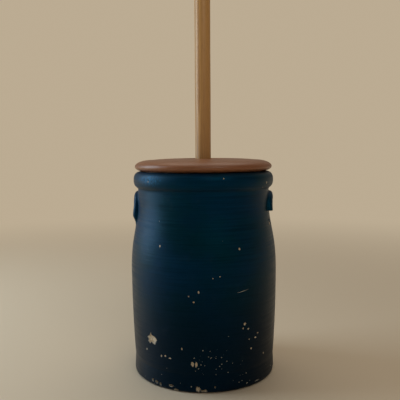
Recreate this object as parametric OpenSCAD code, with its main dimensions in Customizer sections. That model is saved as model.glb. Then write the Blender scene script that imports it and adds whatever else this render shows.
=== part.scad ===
// Stoneware butter churn: a thrown jar with two applied ears, a turned wooden
// lid, and a wooden dasher whose long staff comes up through the lid.
// The origin is the centre of the jar's underside, +Z is up along the staff,
// and the ears are on +X and -X.

/* [Jar] */
// Height of the jar, from its underside to the crown of its rim
jar_h = 340; // [320:1:380]
// Diameter of the belly, the widest place
belly_d = 248; // [242:1:270]
// Height of the belly above the underside
belly_z = 170; // [150:1:190]
// Diameter just above the foot line
foot_d = 239; // [226:1:241]
// Diameter of the straight neck under the rim
neck_d = 222; // [214:1:230]
// Height of the neck and rim together, above the end of the shoulder
neck_h = 50; // [44:1:60]
// How late the shoulder turns in: 1 is even, more is a fuller shoulder
shoulder_ease = 1.3; // [1:0.05:1.6]
// Thickness of the wall
wall_t = 11; // [8:0.5:14]
// Thickness of the floor
floor_t = 13; // [9:0.5:18]
// Radius of the corner between floor and wall, inside
floor_round = 14; // [8:1:20]

/* [Rim] */
// Diameter of the rolled rim
rim_d = 237; // [232:1:246]
// Height of the rolled rim
rim_h = 29; // [24:1:34]
// How far the roll stands out from its crown, the ring that the lid rests on
roll_w = 13.5; // [12:0.5:15]
// Height of the rounding from the crown down into the mouth
lip_h = 9; // [6:0.5:12]

/* [Foot] */
// Height of the foot band, up to the foot line
foot_h = 28; // [20:1:36]
// How far the foot band spreads towards the floor
foot_flare = 0.9; // [0:0.1:3]
// Radius of the rounded edge that stands on the floor
foot_edge = 3.4; // [2:0.2:6]
// Width of the foot line, a turned groove
foot_line_w = 3; // [2:0.5:5]
// Depth of the foot line
foot_line_depth = 0.7; // [0.4:0.1:1.5]

/* [Ears] */
// Gap between the crease under the rim and the top of an ear
ear_drop = 5; // [2:0.5:8]
// Height of an ear's centre line, from leg end to crown
ear_rise = 43; // [36:1:48]
// Distance between the centre lines of an ear's legs
ear_span = 50; // [44:1:64]
// Width of the strap at the crown
ear_crown_w = 24; // [18:1:28]
// Width of the strap at the legs
ear_leg_w = 17; // [13:1:20]
// How far the crown stands out from the neck
ear_crown_t = 7.7; // [6:0.1:11]
// How far the legs stand out from the wall
ear_leg_t = 8.6; // [6:0.1:11]
// Height that is left of the broken ear, from its top
ear_stub_h = 31; // [28:1:34]

/* [Lid] */
// Diameter of the lid
lid_d = 232; // [224:1:240]
// Thickness of the lid at the saucer's lip
lid_t = 20.5; // [18:0.5:26]
// Height of the lid's widest line above its underside
lid_edge_h = 7.3; // [5:0.1:9]
// Width of the long rounding on top of the edge
lid_top_round = 26; // [18:1:34]
// Width of the short rounding under the edge
lid_low_round = 14; // [8:1:16]
// Rise of the gentle dome, from the rounding to the saucer's lip
lid_dome = 2.2; // [1:0.1:4]
// Diameter of the saucer round the hole
saucer_d = 82; // [70:1:96]
// Depth of the saucer
saucer_depth = 5.5; // [3:0.5:8]
// Radius of the saucer's soft lip
saucer_lip = 1.6; // [0.8:0.2:2.6]
// Gap all round between the staff and the hole
hole_gap = 1.8; // [1:0.1:3]
// Thickness of the plug under the lid
plug_t = 12; // [8:0.5:16]
// Gap all round between the plug and the mouth
plug_gap = 2.5; // [1.5:0.1:5]
// Bevel on the plug's lower edge
plug_edge = 1.5; // [0.5:0.5:3]
// Gap between the lid's underside and the crown of the rim
lid_gap = 0.3; // [0.2:0.1:1]

/* [Staff] */
// Diameter of the staff
staff_d = 26.5; // [22:0.5:30]
// Length of the staff, with its tenon
staff_l = 762; // [640:1:900]
// Radius of the rounded top end
staff_end_round = 5; // [2:0.5:8]
// Diameter of the tenon that goes through the cross
tenon_d = 19; // [15:0.5:20]

/* [Dasher] */
// Gap between the ends of the cross and the mouth
cross_gap = 8; // [5:0.5:20]
// Gap between the cross and the floor of the jar, at rest
floor_gap = 0.3; // [0.3:0.1:2]
// Width of a slat
slat_w = 56; // [48:1:64]
// Thickness of a slat
slat_t = 20; // [16:0.5:26]
// Diameter of the holes in the slats
flow_d = 16; // [10:0.5:20]
// Distance from the staff's axis to an arm's first hole
flow_x = 44; // [40:1:48]
// Distance between the two holes of an arm
flow_pitch = 26; // [24:0.5:30]
// Gap in the lap and round the tenon
joint_gap = 0.15; // [0.1:0.05:0.3]
// Thickness of the wedge at its lower end
wedge_t = 3; // [2:0.2:4]
// Thickness of the wedge at its tip
wedge_tip_t = 1.4; // [0.8:0.1:1.8]
// Length of the wedge
wedge_l = 15; // [10:0.5:15]

/* [Nails] */
// Diameter of a nail's shank
nail_d = 2.6; // [2:0.1:3.2]
// Diameter of a nail's head
nail_head_d = 6; // [5:0.2:8]
// Thickness of a nail's head
nail_head_t = 1.2; // [0.8:0.1:2]
// Length of the tapered point
nail_point = 4; // [2:0.5:5]
// Number of nails in the lid
lid_nail_count = 6; // [4:1:8]
// Diameter of the ring on which the lid's nails stand
lid_nail_ring = 140; // [110:1:170]
// How far the lid's nails reach into the board
lid_nail_bite = 11; // [8:0.5:13]
// Distance of the cross's nails from the staff's axis, along each slat
cross_nail_x = 20; // [19.5:0.5:22]
// Wood that is left under the points of the cross's nails
cross_nail_left = 3; // [2:0.5:6]
// Gap round what is driven in: the nails and the wedge
driven_gap = 0.05; // [0.03:0.01:0.1]

/* [Hidden] */

paint = [0.07, 0.19, 0.24];
lid_wood = [0.52, 0.29, 0.17];
staff_wood = [0.72, 0.50, 0.28];
cross_wood = [0.74, 0.58, 0.38];
iron = [0.35, 0.33, 0.32];

round_fn = 180;
small_fn = 48;

// The jar's outline, from the sizes above
belly_r = belly_d / 2;
foot_r = foot_d / 2;
neck_r = neck_d / 2;
neck_z = jar_h - neck_h;
mouth_r = neck_r - wall_t;
crown_r = rim_d / 2 - roll_w;
roll_z = jar_h - rim_h / 2;
roll_power = 2.5;
crease_share = pow(1 - pow((neck_r - crown_r) / roll_w, roll_power), 1 / roll_power);
crease_z = roll_z - crease_share * rim_h / 2;
side_steps = 40;
roll_steps = 24;
corner_steps = 12;

// Eases from 0 to 1 with level ends
function ease(v) = (1 - cos(180 * min(max(v, 0), 1))) / 2;

// Outer radius of the side at height z, from the foot line up to the rim
function side_r(z) =
    z <= foot_h ? foot_r
    : z < belly_z ? belly_r - (belly_r - foot_r) * pow((belly_z - z) / (belly_z - foot_h), 2)
    : z < neck_z ? belly_r - (belly_r - neck_r)
        * ease(pow((z - belly_z) / (neck_z - belly_z), shoulder_ease))
    : neck_r;

// A point of the rolled rim, by its turn from the widest line, which is 0
function roll_point(turn) = [
    crown_r + roll_w * pow(max(cos(turn), 0), 2 / roll_power),
    roll_z + sign(turn) * rim_h / 2 * pow(abs(sin(turn)), 2 / roll_power)
];

// The dasher's and the lid's places
cross_z = floor_t + floor_gap;
cross_r = mouth_r - cross_gap;
shoulder_z = cross_z + slat_t;
staff_top = cross_z + staff_l;
lid_z = jar_h + lid_gap;
hole_d = staff_d + 2 * hole_gap;

module crock_jar() {
    foot_low_r = foot_r + foot_flare;
    foot_top = foot_h - foot_line_w / 2;
    side_start = foot_h + foot_line_w / 2;
    crease_turn = asin(pow(crease_share, roll_power / 2));
    inside_start = floor_t + floor_round;

    foot = [
        for (k = [0 : corner_steps])
            let (turn = 90 * k / corner_steps)
            [foot_low_r - foot_edge * (1 - sin(turn)), foot_edge * (1 - cos(turn))]
    ];
    foot_line = [[foot_r, foot_top], [foot_r - foot_line_depth, foot_h]];
    side = [
        for (k = [0 : side_steps])
            let (z = side_start + (crease_z - side_start) * k / side_steps)
            if (k < side_steps) [side_r(z), z]
    ];
    roll = [
        for (k = [0 : roll_steps])
            roll_point(-crease_turn + (90 + crease_turn) * k / roll_steps)
    ];
    lip = [
        for (k = [1 : corner_steps])
            let (turn = 90 * k / corner_steps)
            [mouth_r + (crown_r - mouth_r) * (1 - sin(turn)), jar_h - lip_h * (1 - cos(turn))]
    ];
    inner_side = [
        for (k = [1 : side_steps])
            let (z = jar_h - lip_h - (jar_h - lip_h - inside_start) * k / side_steps)
            [side_r(z) - wall_t, z]
    ];
    corner = [
        for (k = [0 : corner_steps])
            let (turn = 90 * k / corner_steps)
            [
                side_r(inside_start) - wall_t - floor_round * (1 - cos(turn)),
                floor_t + floor_round * (1 - sin(turn))
            ]
    ];
    color(paint)
        rotate_extrude($fn = round_fn)
            polygon(concat([[0, 0]], foot, foot_line, side, roll, lip, inner_side, corner, [[0, floor_t]]));
}

// An ear is one strap that is wrapped on the jar's wall. Its centre line goes
// up one leg, over a half circle and down the other leg, from share 0 to 1.
ear_crown_z = crease_z - ear_drop - ear_crown_w / 2;
ear_foot_z = ear_crown_z - ear_rise;
ear_arc_r = ear_span / 2;
ear_leg_l = ear_rise - ear_arc_r;
ear_seat = 0.05;
ear_peak = 0.2;
ear_stations = 30;
ear_back_points = 8;
ear_front_points = 12;
ear_power = 2.4;

// The centre line's place and turn: [along the wall, above the legs' ends, turn]
function ear_line(share) =
    let (
        travel = share * (2 * ear_leg_l + PI * ear_arc_r),
        arc = (travel - ear_leg_l) / ear_arc_r * 180 / PI,
        turn = min(max(arc, 0), 180),
        down = max(-arc, arc - 180, 0) / 180 * PI * ear_arc_r
    )
    [ear_arc_r * cos(turn), ear_leg_l + ear_arc_r * sin(turn) - down, turn];

// How far a height lies towards the crown, and how far it has left the foot
function ear_crown_share(h) = ease((h / ear_rise - 0.45) / 0.55);
function ear_foot_share(h) = ease(h / ear_rise * 2.6);

// Width of the strap, and how far it stands out, at a height above the legs' ends
function ear_w(h) =
    (ear_leg_w + (ear_crown_w - ear_leg_w) * ear_crown_share(h)) * (0.6 + 0.4 * ear_foot_share(h));
function ear_t(h) =
    (ear_leg_t + (ear_crown_t - ear_leg_t) * ear_crown_share(h)) * (0.16 + 0.84 * ear_foot_share(h));

// Swell across the strap, from side -1, its inner edge, to side 1, its outer one
function ear_swell(side) =
    side > ear_peak
    ? pow(max(1 - pow((side - ear_peak) / (1 - ear_peak), ear_power), 0), 1 / ear_power)
    : pow(max(1 - pow((ear_peak - side) / (1 + ear_peak), 2), 0), 1 / 2);

// A point on or above the wall: along it by s, at height z, proud by n
function on_wall(s, z, n) =
    let (turn = s / neck_r * 180 / PI, r = side_r(z) + n)
    [r * cos(turn), r * sin(turn), z];

function ear_point(line, side, n) =
    let (away = side * ear_w(line[1]) / 2)
    on_wall(line[0] + away * cos(line[2]), ear_foot_z + line[1] + away * sin(line[2]), ear_seat + n);

function ear_ring(line) = concat(
    [
        for (k = [0 : ear_back_points])
            ear_point(line, 1 - 2 * k / ear_back_points, 0)
    ],
    [
        for (k = [1 : ear_front_points - 1])
            let (side = -cos(180 * k / ear_front_points))
            ear_point(line, side, ear_t(line[1]) * ear_swell(side))
    ]
);

module ear_strap() {
    count = ear_back_points + ear_front_points;
    points = [for (k = [0 : ear_stations]) each ear_ring(ear_line(k / ear_stations))];
    sides = [
        for (k = [0 : ear_stations - 1], j = [0 : count - 1])
            let (a = k * count + j, b = k * count + (j + 1) % count)
            each [[a, a + count, b + count], [a, b + count, b]]
    ];
    first_end = [for (j = [0 : count - 1]) j];
    last_end = [for (j = [count - 1 : -1 : 0]) ear_stations * count + j];
    polyhedron(points, concat(sides, [first_end, last_end]), convexity = 6);
}

module left_ear() {
    color(paint) rotate([0, 0, 180]) ear_strap();
}

// The broken ear keeps its crown. Both legs are gone, along rough breaks.
module right_ear() {
    break_z = crease_z - ear_drop - ear_stub_h;
    color(paint)
        difference() {
            ear_strap();
            for (side = [-1, 1])
                translate([neck_r, side * ear_span / 2, break_z])
                    rotate([side * 7, 12, 0])
                        translate([-ear_span / 2, -ear_span / 2, -ear_rise])
                            cube([ear_span, ear_span, ear_rise]);
        }
}

// A nail, its head's outer face at the origin and its point up
module nail(l) {
    cylinder(h = nail_head_t, d = nail_head_d, $fn = small_fn);
    translate([0, 0, nail_head_t])
        cylinder(h = l - nail_head_t - nail_point, d = nail_d, $fn = small_fn);
    translate([0, 0, l - nail_point])
        cylinder(h = nail_point, d1 = nail_d, d2 = 0.2 * nail_d, $fn = small_fn);
}

// The room that a nail takes in the wood, open at its head
module nail_hole(l) {
    translate([0, 0, -1])
        cylinder(h = nail_head_t + 1, d = nail_head_d + 2 * driven_gap, $fn = small_fn);
    cylinder(h = l + driven_gap, d = nail_d + 2 * driven_gap, $fn = small_fn);
}

// The lid's nails are driven up through the plug
lid_nail_l = plug_t + lid_nail_bite;
module at_lid_nails() {
    for (k = [0 : lid_nail_count - 1])
        rotate([0, 0, 360 * (k + 0.5) / lid_nail_count])
            translate([lid_nail_ring / 2, 0, lid_z - plug_t])
                children();
}

// The cross's nails are driven down through its lap
cross_nail_l = slat_t - cross_nail_left;
module at_cross_nails() {
    for (x = [-1, 1], y = [-1, 1])
        translate([x * cross_nail_x, y * cross_nail_x, shoulder_z])
            rotate([180, 0, 0])
                children();
}

// The lid's outline: a cushion edge, a gentle dome, and a saucer with a soft lip
module lid_board() {
    r = lid_d / 2;
    round_top = lid_t - lid_dome;
    dome_from = r - lid_top_round;
    saucer_r = saucer_d / 2;
    saucer_floor = lid_t - saucer_depth;
    cove_r = saucer_depth - saucer_lip;
    low = [
        for (k = [0 : corner_steps])
            let (turn = 90 * k / corner_steps)
            [r - lid_low_round * (1 - sin(turn)), lid_edge_h * (1 - cos(turn))]
    ];
    top = [
        for (k = [1 : roll_steps])
            let (turn = 90 * k / roll_steps)
            [r - lid_top_round * (1 - cos(turn)), lid_edge_h + (round_top - lid_edge_h) * sin(turn)]
    ];
    dome = [
        for (k = [1 : corner_steps])
            let (share = k / corner_steps)
            [
                dome_from + (saucer_r + saucer_lip - dome_from) * share,
                round_top + lid_dome * (1 - pow(1 - share, 2))
            ]
    ];
    lip = [
        for (k = [1 : corner_steps])
            let (turn = 90 * k / corner_steps)
            [saucer_r + saucer_lip * (1 - sin(turn)), lid_t - saucer_lip * (1 - cos(turn))]
    ];
    cove = [
        for (k = [1 : corner_steps])
            let (turn = 90 * k / corner_steps)
            [saucer_r - cove_r * (1 - cos(turn)), saucer_floor + cove_r * (1 - sin(turn))]
    ];
    color(lid_wood)
        difference() {
            translate([0, 0, lid_z])
                rotate_extrude($fn = round_fn)
                    polygon(concat([[0, 0]], low, top, dome, lip, cove, [[0, saucer_floor]]));
            translate([0, 0, lid_z - 1])
                cylinder(h = lid_t + 2, d = hole_d, $fn = small_fn);
            at_lid_nails() nail_hole(lid_nail_l);
        }
}

module lid_plug() {
    r = mouth_r - plug_gap;
    color(lid_wood)
        difference() {
            translate([0, 0, lid_z - plug_t])
                rotate_extrude($fn = round_fn)
                    polygon([
                        [0, 0], [r - plug_edge, 0], [r, plug_edge], [r, plug_t], [0, plug_t]
                    ]);
            translate([0, 0, lid_z - plug_t - 1])
                cylinder(h = plug_t + 2, d = hole_d, $fn = small_fn);
            at_lid_nails() nail_hole(lid_nail_l);
        }
}

module lid_nails() {
    color(iron) at_lid_nails() nail(lid_nail_l);
}

// The wedge's outline, grown by a gap on each side for its kerf
module wedge_side(gap) {
    low = wedge_t / 2 + gap;
    tip = wedge_tip_t / 2 + gap;
    polygon([[-low, 0], [low, 0], [tip, wedge_l + gap], [-tip, wedge_l + gap]]);
}

// The wedge stands in the tenon along Y, as a slab as long as the tenon is thick
module wedge_slab(gap) {
    translate([0, tenon_d / 2 + gap, cross_z])
        rotate([90, 0, 0])
            linear_extrude(tenon_d + 2 * gap) wedge_side(gap);
}

module dasher_staff() {
    r = staff_d / 2;
    end = [
        for (k = [0 : corner_steps])
            let (turn = 90 * k / corner_steps)
            [
                r - staff_end_round * (1 - cos(turn)),
                staff_top - staff_end_round * (1 - sin(turn))
            ]
    ];
    color(staff_wood)
        difference() {
            rotate_extrude($fn = round_fn)
                polygon(concat(
                    [[0, cross_z], [tenon_d / 2, cross_z], [tenon_d / 2, shoulder_z], [r, shoulder_z]],
                    end,
                    [[0, staff_top]]
                ));
            wedge_slab(driven_gap);
        }
}

module dasher_wedge() {
    color(cross_wood)
        intersection() {
            wedge_slab(0);
            translate([0, 0, cross_z])
                cylinder(h = slat_t, d = tenon_d, $fn = round_fn);
        }
}

// A slat along X, with ends that follow the jar's round wall, its flow holes
// and the hole for the tenon
module slat() {
    difference() {
        translate([0, 0, cross_z])
            linear_extrude(slat_t)
                intersection() {
                    square([2 * cross_r, slat_w], center = true);
                    circle(r = cross_r, $fn = round_fn);
                }
        translate([0, 0, cross_z - 1])
            cylinder(h = slat_t + 2, d = tenon_d + 2 * joint_gap, $fn = small_fn);
        for (side = [-1, 1], k = [0, 1])
            translate([side * (flow_x + k * flow_pitch), 0, cross_z - 1])
                cylinder(h = slat_t + 2, d = flow_d, $fn = small_fn);
    }
}

// Half the thickness is cut out of each slat where the other one crosses
module lap_cut(low) {
    translate([-slat_w / 2 - joint_gap, -slat_w, low])
        cube([slat_w + 2 * joint_gap, 2 * slat_w, slat_t]);
}

module dasher_lower_slat() {
    color(cross_wood)
        difference() {
            slat();
            lap_cut(cross_z + slat_t / 2);
            at_cross_nails() nail_hole(cross_nail_l);
        }
}

module dasher_upper_slat() {
    color(cross_wood)
        difference() {
            rotate([0, 0, 90])
                difference() {
                    slat();
                    lap_cut(cross_z - slat_t / 2);
                }
            at_cross_nails() nail_hole(cross_nail_l);
        }
}

module dasher_nails() {
    color(iron) at_cross_nails() nail(cross_nail_l);
}

crock_jar();
left_ear();
right_ear();
lid_board();
lid_plug();
lid_nails();
dasher_staff();
dasher_lower_slat();
dasher_upper_slat();
dasher_wedge();
dasher_nails();
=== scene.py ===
import math
import random

import bmesh
import bpy
import numpy as np
from mathutils import Matrix, Vector, noise


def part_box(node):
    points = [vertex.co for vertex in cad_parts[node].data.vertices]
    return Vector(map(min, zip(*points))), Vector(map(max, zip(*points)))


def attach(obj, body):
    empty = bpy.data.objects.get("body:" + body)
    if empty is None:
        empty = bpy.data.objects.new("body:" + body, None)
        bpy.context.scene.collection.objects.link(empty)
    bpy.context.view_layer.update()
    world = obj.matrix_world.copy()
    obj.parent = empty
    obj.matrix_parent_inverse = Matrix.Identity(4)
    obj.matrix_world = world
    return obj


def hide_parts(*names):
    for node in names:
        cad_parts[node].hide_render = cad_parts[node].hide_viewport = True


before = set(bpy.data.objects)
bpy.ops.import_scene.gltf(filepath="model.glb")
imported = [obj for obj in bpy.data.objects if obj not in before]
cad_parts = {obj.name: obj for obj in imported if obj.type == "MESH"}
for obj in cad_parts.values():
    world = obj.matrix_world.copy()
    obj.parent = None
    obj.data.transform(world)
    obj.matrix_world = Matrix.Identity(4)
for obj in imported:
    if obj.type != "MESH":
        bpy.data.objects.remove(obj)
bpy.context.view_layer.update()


# The jar's outline
# The jar is thrown on a wheel: a foot band, a belly, a shoulder that draws in to a short neck,
# and a rolled rim. All of its surface is one outline turned round the axis.
jar_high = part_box("crock_jar")[1]
jar_h = jar_high.z
belly_r = jar_high.x
belly_z = 0.170
foot_r = 0.1195
neck_r = 0.111
neck_z = jar_h - 0.050
shoulder_ease = 1.3
wall_t = 0.011
floor_t = 0.013
floor_round = 0.014
mouth_r = neck_r - wall_t

rim_h = 0.029
roll_w = 0.0135
roll_z = jar_h - rim_h / 2
roll_power = 2.5
crown_r = 0.1185 - roll_w
lip_h = 0.009

foot_h = 0.028
foot_flare = 0.0009
foot_edge = 0.0034
foot_line_w = 0.0034
foot_line_depth = 0.0007


def side_r(z):
    """Outer radius of the thrown side at a height."""
    if z < belly_z:
        below = (belly_z - max(z, foot_h)) / (belly_z - foot_h)
        return belly_r - (belly_r - foot_r) * below ** 2
    share = min((z - belly_z) / (neck_z - belly_z), 1) ** shoulder_ease
    return belly_r - (belly_r - neck_r) * (1 - math.cos(math.pi * share)) / 2


def arc(centre, radii, start, end, steps=24, power=2):
    """Points of a round corner, or of a squarer one where the power is more than 2. Turns are in degrees."""
    points = []
    for turn in np.radians(np.linspace(start, end, steps + 1)):
        c, s = math.cos(turn), math.sin(turn)
        points.append((
            centre[0] + radii[0] * math.copysign(abs(c) ** (2 / power), c),
            centre[1] + radii[1] * math.copysign(abs(s) ** (2 / power), s),
        ))
    return points


def evenly(points, spacing):
    """The same line, with its points set evenly along it."""
    points = np.array(points)
    travel = np.concatenate([[0], np.cumsum(np.linalg.norm(np.diff(points, axis=0), axis=1))])
    places = np.linspace(0, travel[-1], max(2, round(travel[-1] / spacing) + 1))
    return np.column_stack([np.interp(places, travel, points[:, i]) for i in (0, 1)])


def softened(line, passes):
    """The same line, with its corners rounded off by a moving average."""
    for _ in range(passes):
        line[1:-1] = (line[:-2] + 2 * line[1:-1] + line[2:]) / 4
    return line


crease_share = (1 - ((neck_r - crown_r) / roll_w) ** roll_power) ** (1 / roll_power)
crease_z = roll_z - crease_share * rim_h / 2
crease_turn = math.degrees(math.asin(crease_share ** (roll_power / 2)))
foot_low_r = foot_r + foot_flare
inside_start = floor_t + floor_round
inside_corner_r = side_r(inside_start) - wall_t - floor_round



def jar_r(z):
    """Outer radius of the jar at a height, on the side or on the rolled rim."""
    if z < crease_z:
        return side_r(z)
    share = min(abs(z - roll_z) / (rim_h / 2), 1)
    return crown_r + roll_w * (1 - share ** roll_power) ** (1 / roll_power)


jar_underside = [(0, 0), (foot_low_r - foot_edge, 0)]
jar_outside = (
    arc((foot_low_r - foot_edge, foot_edge), (foot_edge, foot_edge), -90, 0)
    + [
        (foot_r - foot_line_depth * (1 + math.cos(math.pi * share)) / 2, foot_h + share * foot_line_w / 2)
        for share in np.linspace(-1, 1, 9)
    ]
    + [(side_r(z), z) for z in np.linspace(foot_h + foot_line_w, crease_z, 120)[:-1]]
    + arc((crown_r, roll_z), (roll_w, rim_h / 2), -crease_turn, 90, 60, roll_power)
    + arc((crown_r, jar_h - lip_h), (crown_r - mouth_r, lip_h), 90, 180)
)
jar_inside = (
    [(side_r(z) - wall_t, z) for z in np.linspace(jar_h - lip_h, inside_start, 80)]
    + arc((inside_corner_r, inside_start), (floor_round, floor_round), 0, -90)
    + [(0, floor_t)]
)


def node(tree, kind, inputs=(), **settings):
    """Adds a node. Its inputs, by name or number, take values or other nodes' outputs."""
    made = tree.nodes.new(kind)
    for name, value in settings.items():
        setattr(made, name, value)
    for key, value in dict(inputs).items():
        if isinstance(value, bpy.types.NodeSocket):
            tree.links.new(value, made.inputs[key])
        else:
            made.inputs[key].default_value = value
    return made


def calc(tree, operation, *values, clamp=False):
    """The output of one Math node."""
    return node(tree, "ShaderNodeMath", enumerate(values), operation=operation, use_clamp=clamp).outputs[0]


def vcalc(tree, operation, *values):
    """The output of one Vector Math node, a vector or, for a length, a number."""
    made = node(tree, "ShaderNodeVectorMath", enumerate(values), operation=operation)
    return made.outputs["Value" if operation in ("LENGTH", "DISTANCE", "DOT_PRODUCT") else "Vector"]


def geometry_tree(name, **inputs):
    """A Geometry Nodes tree with these named inputs, its Group Input and its Group Output."""
    tree = bpy.data.node_groups.new(name, "GeometryNodeTree")
    for socket, kind in inputs.items():
        tree.interface.new_socket(socket, in_out="INPUT", socket_type="NodeSocket" + kind)
    tree.interface.new_socket("Piece", in_out="OUTPUT", socket_type="NodeSocketGeometry")
    return tree, node(tree, "NodeGroupInput").outputs, node(tree, "NodeGroupOutput").inputs["Piece"]


def turning_tree():
    """Turns an outline round Z, and leaves the maker's rings and a slight unevenness in the surface."""
    tree, given, result = geometry_tree(
        "turned piece", Outline="Geometry", Points="Int", Segments="Int", Spacing="Float", Depth="Float",
        Wobble="Float", Seed="Float", Outside="Material", Inside="Material", Underside="Material",
    )
    grid = node(tree, "GeometryNodeMeshGrid", {
        "Vertices X": calc(tree, "ADD", given["Segments"], 1), "Vertices Y": given["Points"],
    })
    index = node(tree, "GeometryNodeInputIndex").outputs[0]
    row = calc(tree, "MODULO", index, given["Points"])
    column = calc(tree, "FLOOR", calc(tree, "DIVIDE", calc(tree, "ADD", index, 0.5), given["Points"]))
    angle = calc(tree, "MULTIPLY", calc(tree, "DIVIDE", column, given["Segments"]), 2 * math.pi)

    def from_outline(value, data_type):
        return node(
            tree, "GeometryNodeSampleIndex", {"Geometry": given["Outline"], "Value": value, "Index": row},
            data_type=data_type,
        ).outputs["Value"]

    place = node(tree, "ShaderNodeSeparateXYZ", {
        0: from_outline(node(tree, "GeometryNodeInputPosition").outputs[0], "FLOAT_VECTOR"),
    }).outputs
    around = node(tree, "ShaderNodeCombineXYZ", {
        "X": calc(tree, "MULTIPLY", place["X"], calc(tree, "COSINE", angle)),
        "Y": calc(tree, "MULTIPLY", place["X"], calc(tree, "SINE", angle)),
        "Z": place["Z"],
    })
    piece = node(tree, "GeometryNodeSetPosition", {
        "Geometry": grid.outputs["Mesh"], "Position": around.outputs[0],
    }).outputs[0]
    for name in ("mark", "zone"):
        named = node(tree, "GeometryNodeInputNamedAttribute", {"Name": name}, data_type="FLOAT")
        piece = node(tree, "GeometryNodeStoreNamedAttribute", {
            "Geometry": piece, "Name": name, "Value": from_outline(named.outputs[0], "FLOAT"),
        }, data_type="FLOAT", domain="POINT").outputs[0]
    piece = node(tree, "GeometryNodeMergeByDistance", {"Geometry": piece, "Distance": 0.00001}).outputs[0]

    here = node(tree, "GeometryNodeInputPosition").outputs[0]
    xyz = node(tree, "ShaderNodeSeparateXYZ", {0: here}).outputs
    squares = [calc(tree, "POWER", xyz[axis], 2) for axis in "XY"]
    radius = calc(tree, "SQRT", calc(tree, "ADD", *squares))
    across = node(tree, "ShaderNodeCombineXYZ", {
        "X": calc(tree, "DIVIDE", radius, given["Spacing"]),
        "Y": calc(tree, "DIVIDE", xyz["Z"], given["Spacing"]),
        "Z": calc(tree, "DIVIDE", xyz["Y"], calc(tree, "ADD", radius, 0.001)),
    }).outputs[0]
    rings = node(tree, "ShaderNodeTexNoise", {
        "Vector": across, "W": given["Seed"], "Scale": 1.0, "Detail": 3.0, "Roughness": 0.6,
    }, noise_dimensions="4D").outputs[0]
    uneven = node(tree, "ShaderNodeTexNoise", {
        "Vector": here, "W": given["Seed"], "Scale": 14.0, "Detail": 1.0,
    }, noise_dimensions="4D").outputs[0]
    mark = node(tree, "GeometryNodeInputNamedAttribute", {"Name": "mark"}, data_type="FLOAT").outputs[0]
    ring_deep = calc(tree, "MULTIPLY", calc(tree, "SUBTRACT", rings, 0.3), given["Depth"])
    uneven_deep = calc(tree, "MULTIPLY", calc(tree, "SUBTRACT", uneven, 0.3), given["Wobble"])
    deep = calc(tree, "MULTIPLY", mark, calc(tree, "ADD", ring_deep, uneven_deep))
    inward = vcalc(tree, "SCALE", node(tree, "GeometryNodeInputNormal").outputs[0])
    tree.links.new(calc(tree, "MULTIPLY", deep, -1.0), inward.node.inputs["Scale"])
    piece = node(tree, "GeometryNodeSetPosition", {"Geometry": piece, "Offset": inward}).outputs[0]
    piece = node(tree, "GeometryNodeSetShadeSmooth", {0: piece}).outputs[0]
    piece = node(tree, "GeometryNodeRealizeInstances", {0: piece}).outputs[0]
    zone = node(tree, "GeometryNodeInputNamedAttribute", {"Name": "zone"}, data_type="FLOAT").outputs[0]
    piece = node(tree, "GeometryNodeSetMaterial", {"Geometry": piece, "Material": given["Outside"]}).outputs[0]
    for number, name in enumerate(("Inside", "Underside"), 1):
        piece = node(tree, "GeometryNodeSetMaterial", {
            "Geometry": piece, "Material": given[name],
            "Selection": calc(tree, "COMPARE", zone, number, 0.4),
        }).outputs[0]
    tree.links.new(piece, result)
    return tree


turning = turning_tree()


def shaped(piece, tree, **values):
    """The piece after a Geometry Nodes tree with these inputs, as a plain mesh."""
    modifier = piece.modifiers.new(tree.name, "NODES")
    modifier.node_group = tree
    for item in tree.interface.items_tree:
        if item.item_type == "SOCKET" and item.in_out == "INPUT" and item.name in values:
            modifier[item.identifier] = values[item.name]
    return plain(piece)


def plain(piece):
    """The piece with its modifiers worked into its mesh."""
    graph = bpy.context.evaluated_depsgraph_get()
    mesh = bpy.data.meshes.new_from_object(piece.evaluated_get(graph), depsgraph=graph)
    piece.modifiers.clear()
    piece.data = mesh
    return piece


def linked(name, mesh):
    """An object for a mesh, in the scene."""
    piece = bpy.data.objects.new(name, mesh)
    bpy.context.scene.collection.objects.link(piece)
    return piece


def turned(name, zones, segments, spacing, depth, wobble, seed, outside, inside=None, underside=None):
    """A turned piece from its outline, given as stretches of (line, zone, depth of the marks there)."""
    places, zone, mark = [], [], []
    for line, number, weight in zones:
        fresh = line[1:] if places else line
        places += [(r, 0, z) for r, z in fresh]
        zone += [number] * len(fresh)
        mark += [weight] * len(fresh)
    mesh = bpy.data.meshes.new(name)
    mesh.from_pydata(places, [(i, i + 1) for i in range(len(places) - 1)], [])
    for attribute, values in (("zone", zone), ("mark", mark)):
        mesh.attributes.new(attribute, "FLOAT", "POINT").data.foreach_set("value", values)
    return shaped(
        linked(name, mesh), turning, Points=len(places), Segments=segments, Spacing=spacing, Depth=depth,
        Wobble=wobble, Seed=float(seed), Outside=outside, Inside=inside or outside,
        Underside=underside or outside,
    )


# The jar's finishes
# Old paint, dark blue with teal in it, brushed round the jar over the glaze. It is darker towards the
# foot, partly worn and dirty paint and partly painted shade. Inside is a brown slip glaze. The
# underside, the chips and the breaks show the pale clay.
def material(name, roughness, **settings):
    """A material with its Principled shader, and the tree and object coordinates to build on."""
    made = bpy.data.materials.new(name)
    made.use_nodes = True
    tree = made.node_tree
    shader = tree.nodes["Principled BSDF"]
    shader.inputs["Roughness"].default_value = roughness
    for key, value in settings.items():
        shader.inputs[key.replace("_", " ")].default_value = value
    return made, tree, shader.inputs, node(tree, "ShaderNodeTexCoord").outputs["Object"]


def stretched(tree, coordinates, scale, turn=(0, 0, 0), shift=(0, 0, 0)):
    """Coordinates scaled unevenly, so that a pattern runs along one direction."""
    return node(tree, "ShaderNodeMapping", {
        "Vector": coordinates, "Location": shift, "Rotation": turn, "Scale": scale,
    }).outputs[0]


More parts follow.
